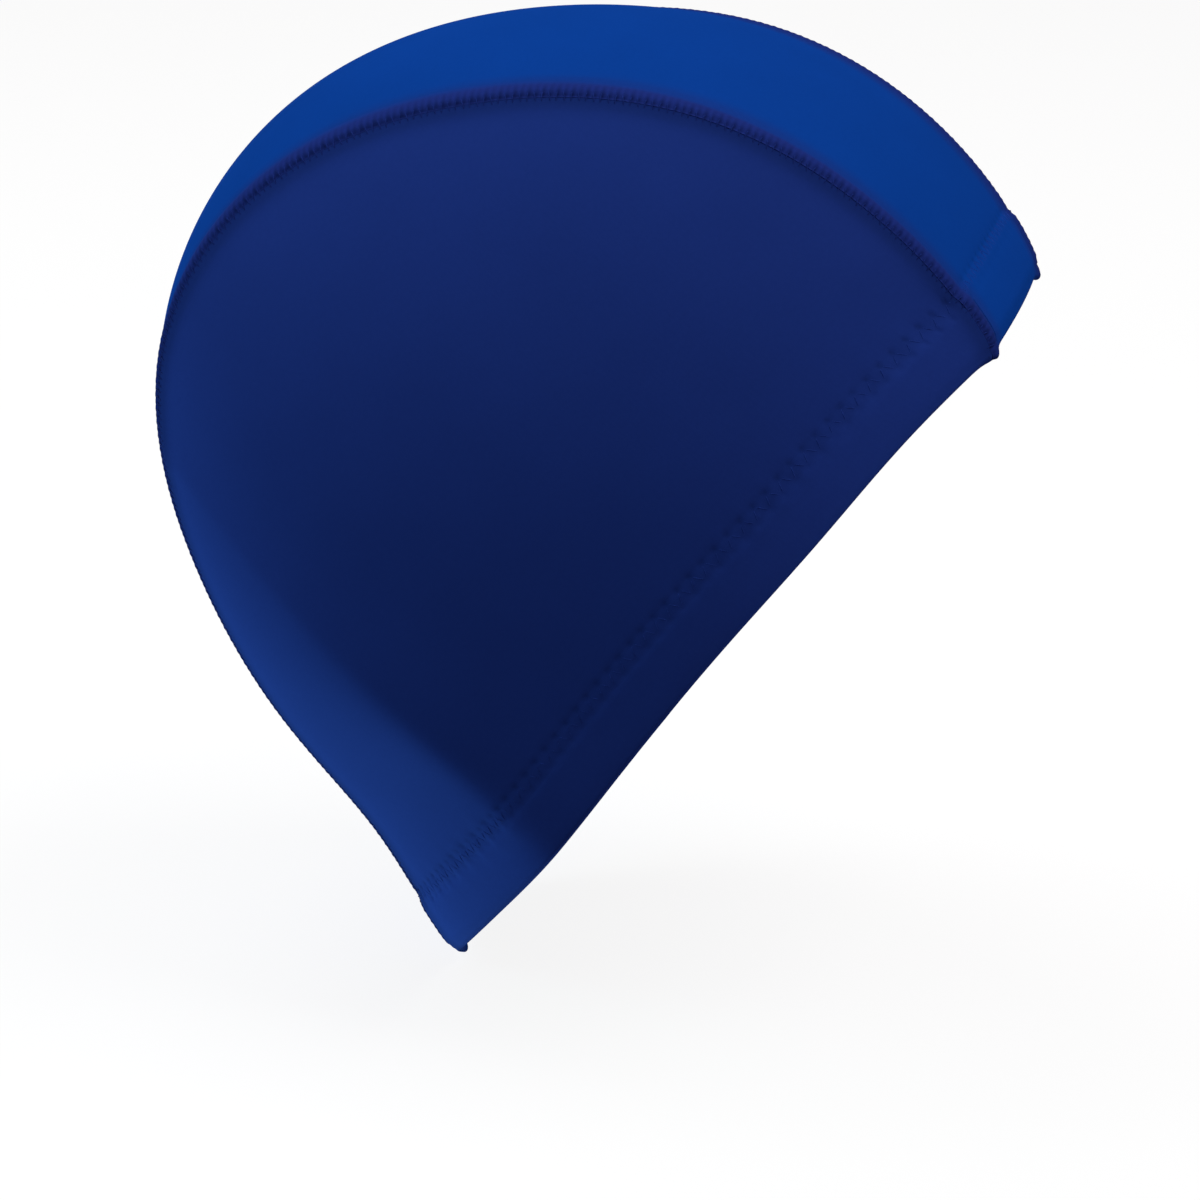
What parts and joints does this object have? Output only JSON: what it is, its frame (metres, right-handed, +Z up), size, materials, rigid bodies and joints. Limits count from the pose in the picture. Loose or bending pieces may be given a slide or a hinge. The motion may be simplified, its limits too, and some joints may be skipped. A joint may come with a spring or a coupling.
{
  "type": "swim cap",
  "caption": "Close-fitting textile swim cap sewn from panels, with a centre strip over the crown, overlocked seams and a turned hem, in its worn shape.",
  "frame": {"origin": "centre of the head opening, in its rim plane", "axes": "+X the way the face looks, +Y to the wearer's left, +Z up, with the forehead end of the rim up as the picture shows it"},
  "size_m": [0.1926, 0.145, 0.2191],
  "materials": {
    "strip_cloth": "matte knit",
    "side_cloth": "matte knit",
    "seam_thread": "matte overlock thread",
    "hem_cloth": "matte knit"
  },
  "bodies": {
    "root": {"centre_panel": "strip_cloth", "side_panel_right": "side_cloth", "side_panel_left": "side_cloth", "seam_right": "seam_thread", "seam_left": "seam_thread", "hem": "hem_cloth"}
  },
  "joints": []
}
